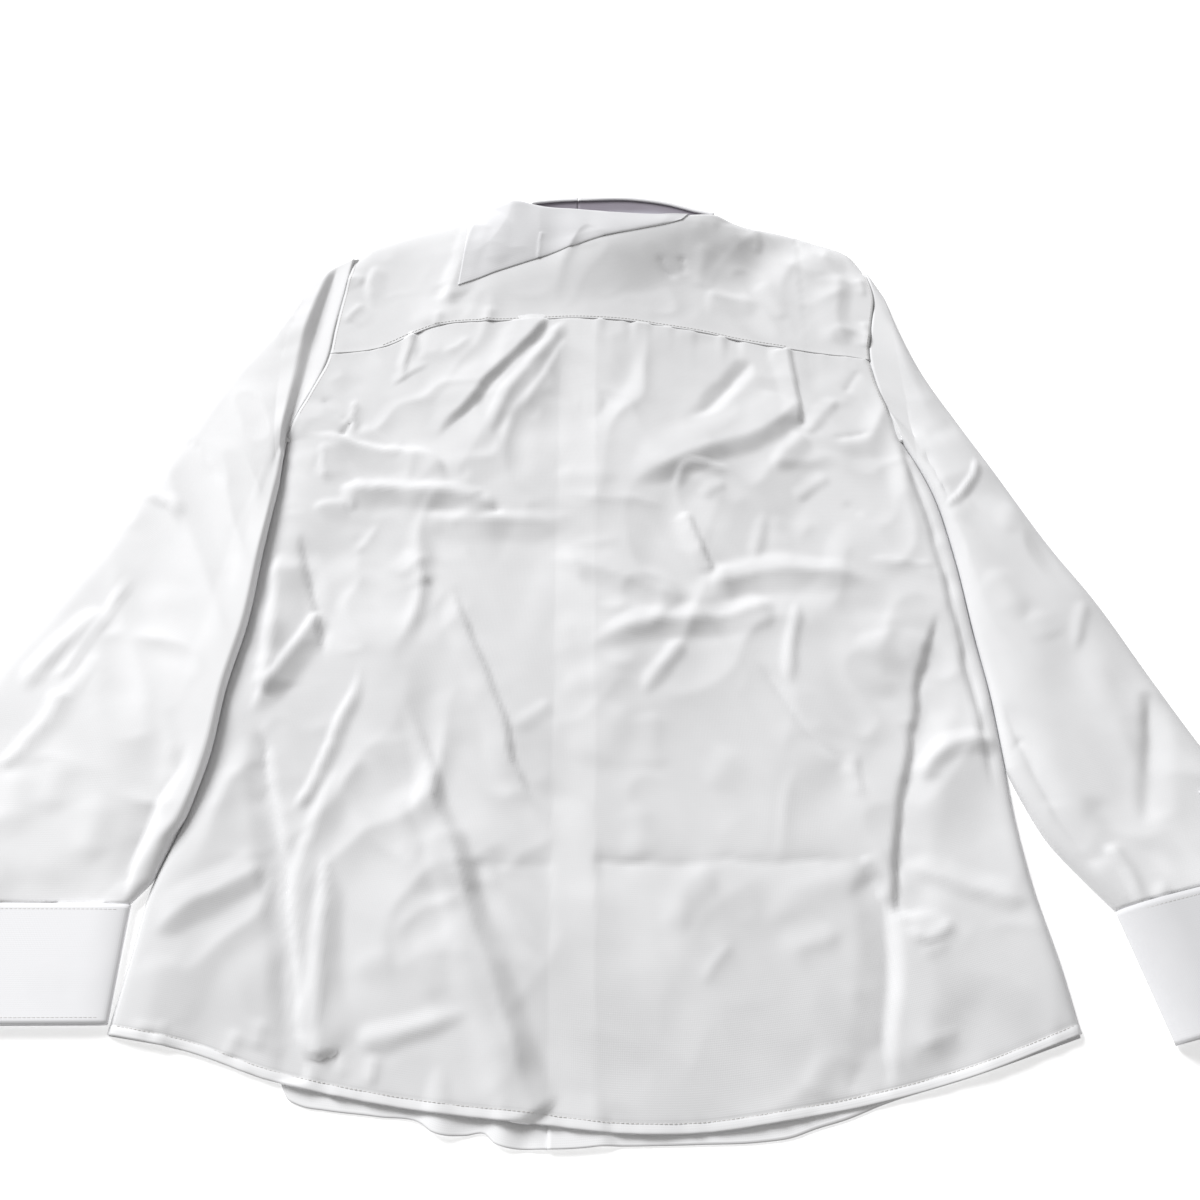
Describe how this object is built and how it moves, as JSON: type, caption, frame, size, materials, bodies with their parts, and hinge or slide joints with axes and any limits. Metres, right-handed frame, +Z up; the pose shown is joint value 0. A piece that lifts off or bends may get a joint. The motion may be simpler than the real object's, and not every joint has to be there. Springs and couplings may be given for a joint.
{
  "type": "long sleeve dress shirt",
  "caption": "Plain white men's long sleeve dress shirt, laid out flat on its front with the back up and the sleeves beside the body.",
  "frame": {"origin": "Under the middle of the laid out shirt, on the surface that it lies on.", "axes": "+Z up, +Y towards the collar, +X across towards the wearer's right sleeve; the shirt lies on its front."},
  "size_m": [0.9464, 0.7963, 0.0326],
  "materials": {
    "poplin": "white cotton poplin, thin and slightly see-through",
    "fused_poplin": "white cotton poplin, interlined and flat",
    "pearl_plastic": "pale, soft shine"
  },
  "bodies": {
    "root": {"back": "poplin", "yoke": "poplin", "front_left": "poplin", "front_right": "poplin", "placket": "poplin", "sleeve_left": "poplin", "sleeve_right": "poplin", "sleeve_placket_left": "poplin", "sleeve_placket_right": "poplin", "cuff_left": "fused_poplin", "cuff_right": "fused_poplin", "collar_stand": "fused_poplin", "collar_leaf_back": "fused_poplin", "collar_leaf_front_left": "fused_poplin", "collar_leaf_front_right": "fused_poplin", "button_front_1": "pearl_plastic", "button_front_2": "pearl_plastic", "button_front_3": "pearl_plastic", "button_front_4": "pearl_plastic", "button_front_5": "pearl_plastic", "button_front_6": "pearl_plastic", "button_front_7": "pearl_plastic", "button_collar": "pearl_plastic", "button_cuff_left": "pearl_plastic", "button_cuff_right": "pearl_plastic", "button_sleeve_left": "pearl_plastic", "button_sleeve_right": "pearl_plastic"}
  },
  "joints": []
}
